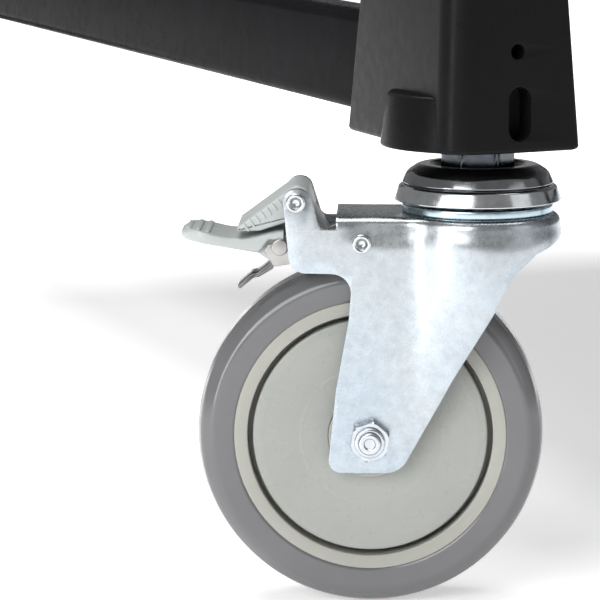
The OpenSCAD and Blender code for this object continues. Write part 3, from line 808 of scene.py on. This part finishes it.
def foot_mesh():
    """Tapered moulding with a panel recess, a hole, a slot and the stem's half-round housing."""
    levels = [(FOOT_Z, 1.6), (FOOT_Z + 0.5, 0.5), (FOOT_Z + 1.4, 0)]
    levels += [(FOOT_Z + 4 + 4 * k, 0) for k in range(22)]
    levels += [(FOOT_TOP - 2.4, 0), (FOOT_TOP - 0.8, 0.6), (FOOT_TOP, 2.2)]
    block = rings_to_mesh([foot_ring(z, inset) for z, inset in levels])
    bmesh.ops.recalc_face_normals(block, faces=block.faces)
    slot = box_cutter(-2.2, 6.8, -60, -21, 170.6, 189.8, 4.45)
    hole = box_cutter(-1.35, 4.15, -60, -21, 199.35, 204.85, 2.74)
    # The foot's outline, moved inwards, is taken out of the panel's block, so the recess is equally deep
    # all over the drafted face. The block is slanted, so that the recess has a sloping lower edge.
    recess = 2
    inner = rings_to_mesh([[(x + recess, y + recess, z) for x, y, z in foot_ring(height, 0)]
                           for height in (FOOT_Z - 1, FOOT_TOP + 1)])
    panel = box_cutter(-22, 20.6, -36, -20, 216.5, 255, 3.5)
    for v in panel.verts:
        v.co.z += v.co.y + 33
    panel = cut(panel, [inner])
    shape = cut(block, [slot, hole, panel])
    body = solid("foot_body", shape, edge_bevel(0.7, 3, 28))
    whole = bmesh.new()
    whole.from_mesh(body)
    return solid("foot", joined(whole, boss_shape()))


def boss_shape():
    """Round housing of the stem on the outer side, cut off inside the moulding."""
    low, high = FOOT_Z + 0.1, 186
    whole = lathe(rounded([(0, low, 0), (35.4, low, 0.9), (32.5, high, 1.8), (0, high, 0)], 6), 128,
                  closed=False)
    bmesh.ops.bisect_plane(whole, geom=whole.verts[:] + whole.edges[:] + whole.faces[:],
                           plane_co=(-16, 0, 0), plane_no=(1, 0, 0), clear_outer=True)
    rim = [e for e in whole.edges if e.is_boundary]
    bmesh.ops.edgeloop_fill(whole, edges=rim)
    bmesh.ops.recalc_face_normals(whole, faces=whole.faces)
    return whole


def build_feet():
    """Four feet, each a mirror copy of the front left one."""
    mesh = foot_mesh()
    for corner in CORNERS:
        put(f"foot_{corner}_skin", mesh, corner_frame(corner), "frame", FOOT,
            [f"foot_{corner}"], 26)


def build_rails():
    """The two low side rails, drawn in x, z and extruded along the cart."""
    low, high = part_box("side_rails")
    x_out, z0, z1 = high.x * 1000, low.z * 1000, high.z * 1000
    width, radius = 20, 4.9
    outline = rectangle(x_out - width, x_out, z0, z1, radius, 8)
    for name, side in (("left", -1), ("right", 1)):
        bm = prism([(side * x, z) for x, z in outline], low.y * 1000, high.y * 1000)
        bm.transform(SWAP_Y_Z)
        bmesh.ops.recalc_face_normals(bm, faces=bm.faces)
        put(f"side_rail_{name}", solid("rail", bm), MM, "frame", PAINT,
            ["side_rails"] if side < 0 else ())


TRAY_FLOOR = 4.2


def tray_mesh(low, high):
    """Tray with a rolled rim, drafted walls and a rounded inner corner."""
    w, d, h = high.x, high.y, high.z - low.z
    corner, least_corner = 0.020, 0.004
    # (inset from the outside, height) round the section of the wall, from the underside's edge
    section = rounded([(8.0, 0.0, 0), (2.2, 0.0, 3), (0.4, h * 500, 30), (0.0, h * 1000 - 5, 2),
                       (0.0, h * 1000, 2.4), (7.5, h * 1000, 2.4), (7.5, h * 1000 - 5, 0.6),
                       (4.6, h * 1000 - 6, 1), (6.4, TRAY_FLOOR, 7), (16, TRAY_FLOOR, 0)], 6)
    rings = []
    for inset, z in section:
        i = inset * 0.001
        ring = rectangle(-w + i, w - i, -d + i, d - i, max(least_corner, corner - i), 8)
        rings.append([(x * 1000, y * 1000, low.z * 1000 + z) for x, y in ring])
    bm = rings_to_mesh(rings)
    bmesh.ops.recalc_face_normals(bm, faces=bm.faces)
    spacing, half, end = 80, 2, d * 1000 - 30
    ribs = []
    for k in range(-2, 3):
        ribs.append(prism(rectangle(k * spacing - half, k * spacing + half, -end, end, 1.9, 3),
                          low.z * 1000, low.z * 1000 + 1.0))
    return solid("tray", joined(bm, *ribs))


def mat_mesh(low, high):
    """Rubber mat: a thin base with ribs along the tray, cut to its rounded outline."""
    x0, x1, y1, z0 = low.x * 1000, high.x * 1000, high.y * 1000, low.z * 1000
    radius, margin, count, half = 12.0, 5, 50, 2.1
    parts = [prism(rectangle(x0, x1, -y1, y1, radius, 8), z0, z0 + 2.6, 0.4, 2)]
    for k in range(count):
        x = x0 + margin + (x1 - x0 - 2 * margin) * k / (count - 1)
        over = max(0.0, abs(x) - (x1 - radius))
        end = y1 - radius + math.sqrt(max(0.0, radius ** 2 - over ** 2)) - 3
        rib = rectangle(x - half, x + half, -end, end, 2.0, 3)
        parts.append(prism(rib, z0 + 2.2, z0 + 3.95, 0.6, 2))
    return solid("mat", joined(*parts))


def build_trays():
    """Three trays, each with its mat on its floor."""
    mats_low, mats_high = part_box("shelf_mats")
    for name in ("bottom", "middle", "top"):
        low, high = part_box(name + "_tray")
        put(f"{name}_tray_skin", tray_mesh(low, high), MM, "frame", TRAY,
            [name + "_tray"], 40)
        mat_low = Vector((mats_low.x, mats_low.y, low.z + TRAY_FLOOR / 1000))
        put(f"{name}_mat", mat_mesh(mat_low, mats_high), MM, "frame", MAT,
            ["shelf_mats"] if name == "bottom" else ())


def build_handle():
    """Bent tube with a moulded grip round its middle."""
    low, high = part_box("push_handle")
    radius, bend, steps = 12.7, 60.0, 16
    y = (low.y + high.y) * 500
    x_leg, z_bar = high.x * 1000 - radius, high.z * 1000 - radius
    path = [Vector((-x_leg, y, low.z * 1000))]
    for side in (-1, 1):
        for k in range(steps + 1):
            t = math.pi / 2 * k / steps
            t = t if side < 0 else math.pi / 2 - t
            x = side * (x_leg - bend + bend * math.cos(t))
            path.append(Vector((x, y, z_bar - bend + bend * math.sin(t))))
    path.append(Vector((x_leg, y, low.z * 1000)))
    put("push_handle_skin", solid("handle", sweep(path, radius, 40)), MM, "frame", PAINT,
        ["push_handle"])
    low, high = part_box("handle_grip")
    half, out = high.x * 1000, (high.z - low.z) * 500
    # The grip: rounded ends, a flange at each end and shallow finger ripples between them
    bore, pitch, steps = 12.75, 6, 150
    profile = [(bore, -half)]
    for k in range(steps + 1):
        h = -half + 2 * half * k / steps
        end = smooth_step(half - abs(h), 0, 3)
        flange = smooth_step(9 - (half - abs(h)), 0, 2.5)
        ripple = 0.35 * (math.cos(2 * math.pi * h / pitch) - 1) * (1 - flange)
        wall = (out - bore) * (0.45 + 0.55 * end) * (1 - 0.22 * (1 - flange))
        profile.append((bore + wall + ripple, h))
    profile.append((bore, half))
    bm = lathe(profile, 64)
    bm.transform(Matrix.Translation((0, y, z_bar)) @ Matrix.Rotation(math.pi / 2, 4, "Y"))
    put("handle_grip_skin", solid("grip", bm), MM, "frame", GRIP, ["handle_grip"], 50)


def dress_frame():
    """The uprights, caps and bolts keep their CAD shape, with softened edges."""
    looks = {"upright_": PAINT, "upright_caps": FOOT, "frame_bolts": STEM}
    for name, obj in frame["nodes"].items():
        match = [key for key in looks if name.startswith(key)]
        if not match:
            continue
        obj.data.materials.clear()
        obj.data.materials.append(looks[max(match, key=len)])
        kind, settings = edge_bevel(0.0006, 2, 40)
        modifier = obj.modifiers.new("softened", kind)
        for key, value in settings.items():
            setattr(modifier, key, value)


# ---------------------------------------------------------------- stage, lights and camera

def stage_floor():
    """Plain pale floor with a faint glow, so that it reads as white."""
    bm = bmesh.new()
    bmesh.ops.create_grid(bm, x_segments=1, y_segments=1, size=20)
    mesh = bpy.data.meshes.new("floor")
    bm.to_mesh(mesh)
    bm.free()
    floor = bpy.data.objects.new("floor", mesh)
    look = Look("floor_paper", Roughness=0.7, Emission_Color=(1, 1, 1, 1), Emission_Strength=0.45)
    look.colour(look.ramp(look.noise(3, 2), [(0.4, grey(0.90)), (0.6, grey(0.93))]))
    mesh.materials.append(look.material)
    bpy.context.scene.collection.objects.link(floor)


def area_light(name, place, target, size, power):
    """Soft white rectangle at a place, facing a target."""
    data = bpy.data.lights.new(name, "AREA")
    data.shape = "RECTANGLE"
    data.size, data.size_y = size
    data.energy = power
    light = bpy.data.objects.new(name, data)
    light.location = place
    light.rotation_euler = (Vector(target) - Vector(place)).to_track_quat("-Z", "Y").to_euler()
    bpy.context.scene.collection.objects.link(light)


def build_lights():
    """A key box on the left, a strip beside the caster, a fill, a wide top light and a dim room."""
    world = bpy.data.worlds.new("studio")
    world.use_nodes = True
    room = world.node_tree.nodes["Background"].inputs
    room["Color"].default_value = (1, 1, 1, 1)
    room["Strength"].default_value = 0.3
    bpy.context.scene.world = world
    corner = Vector(JOINTS["swivel_front_left_turn"]["pos_m"])
    area_light("key", (-2.2, -2.2, 1.3), (corner.x, corner.y, 0.1), (1.4, 1.4), 34)
    area_light("strip", (corner.x - 0.8, corner.y - 0.3, 0.28), (corner.x, corner.y, 0.15), (0.2, 0.5),
               2.2)
    area_light("fill", (1.8, -2.6, 1.2), (0, 0, 0.4), (1.6, 1.6), 6)
    area_light("top", (0, 0.4, 3.2), (0, 0.4, 0), (3.4, 3.4), 190)
    bpy.context.scene.view_settings.view_transform = "Standard"


def build_camera():
    """Low three-quarter view of the front left caster, through a long lens."""
    heading, pitch = math.radians(19.96), math.radians(9.054)
    reach, height = Vector((-0.43935, -1.0221)), 0.28683
    stem = Vector(JOINTS["swivel_front_left_turn"]["pos_m"])
    data = bpy.data.cameras.new("camera")
    data.sensor_width = 36
    data.lens = 186
    camera = bpy.data.objects.new("camera", data)
    camera.location = (stem.x + reach.x, stem.y + reach.y, height)
    camera.rotation_euler = (math.pi / 2 - pitch, 0, -heading)
    bpy.context.scene.collection.objects.link(camera)
    bpy.context.scene.camera = camera


build_casters()
build_feet()
build_rails()
build_trays()
build_handle()
dress_frame()
stage_floor()
build_lights()
build_camera()
